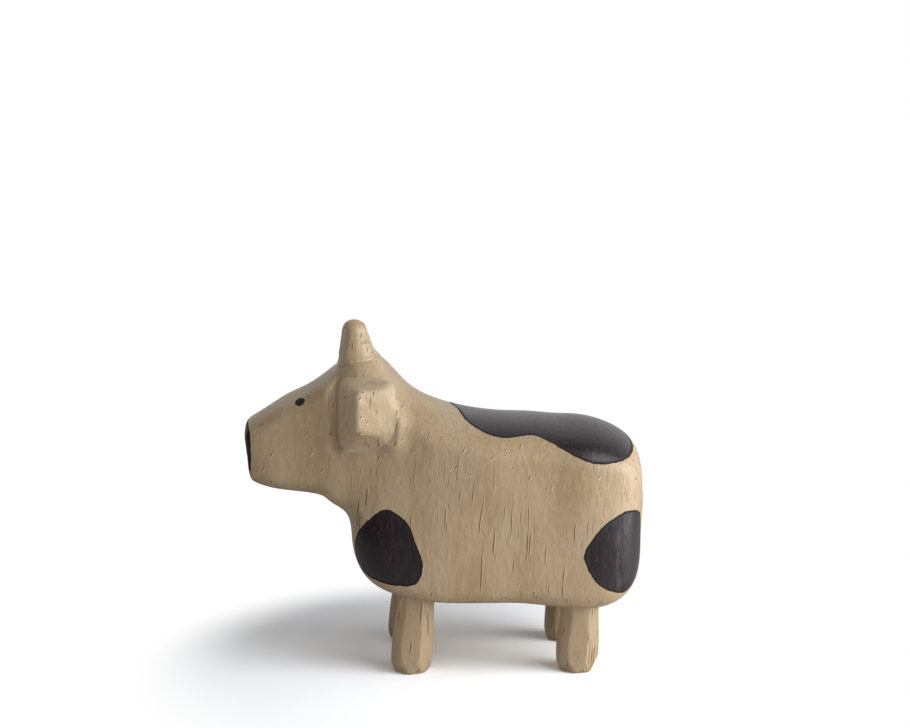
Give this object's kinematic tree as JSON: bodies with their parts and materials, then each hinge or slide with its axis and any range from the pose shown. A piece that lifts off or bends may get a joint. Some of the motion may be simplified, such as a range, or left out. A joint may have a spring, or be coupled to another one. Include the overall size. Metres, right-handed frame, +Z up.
{
  "type": "wooden cow figurine",
  "caption": "Small carved wooden cow ornament with peg legs, peg horns and blunt ears glued into a solid body, with painted dark patches; it stands free on its soles.",
  "frame": {"origin": "middle of the footprint, on the floor under the body", "axes": "+Z up, the head points to -X, the animal's right side is +Y"},
  "size_m": [0.088, 0.0402, 0.0754],
  "materials": {
    "pale_wood": "satin"
  },
  "bodies": {
    "root": {"body": "pale_wood", "front_left_leg": "pale_wood", "front_right_leg": "pale_wood", "hind_left_leg": "pale_wood", "hind_right_leg": "pale_wood", "left_horn": "pale_wood", "right_horn": "pale_wood", "left_ear": "pale_wood", "right_ear": "pale_wood"}
  },
  "joints": []
}
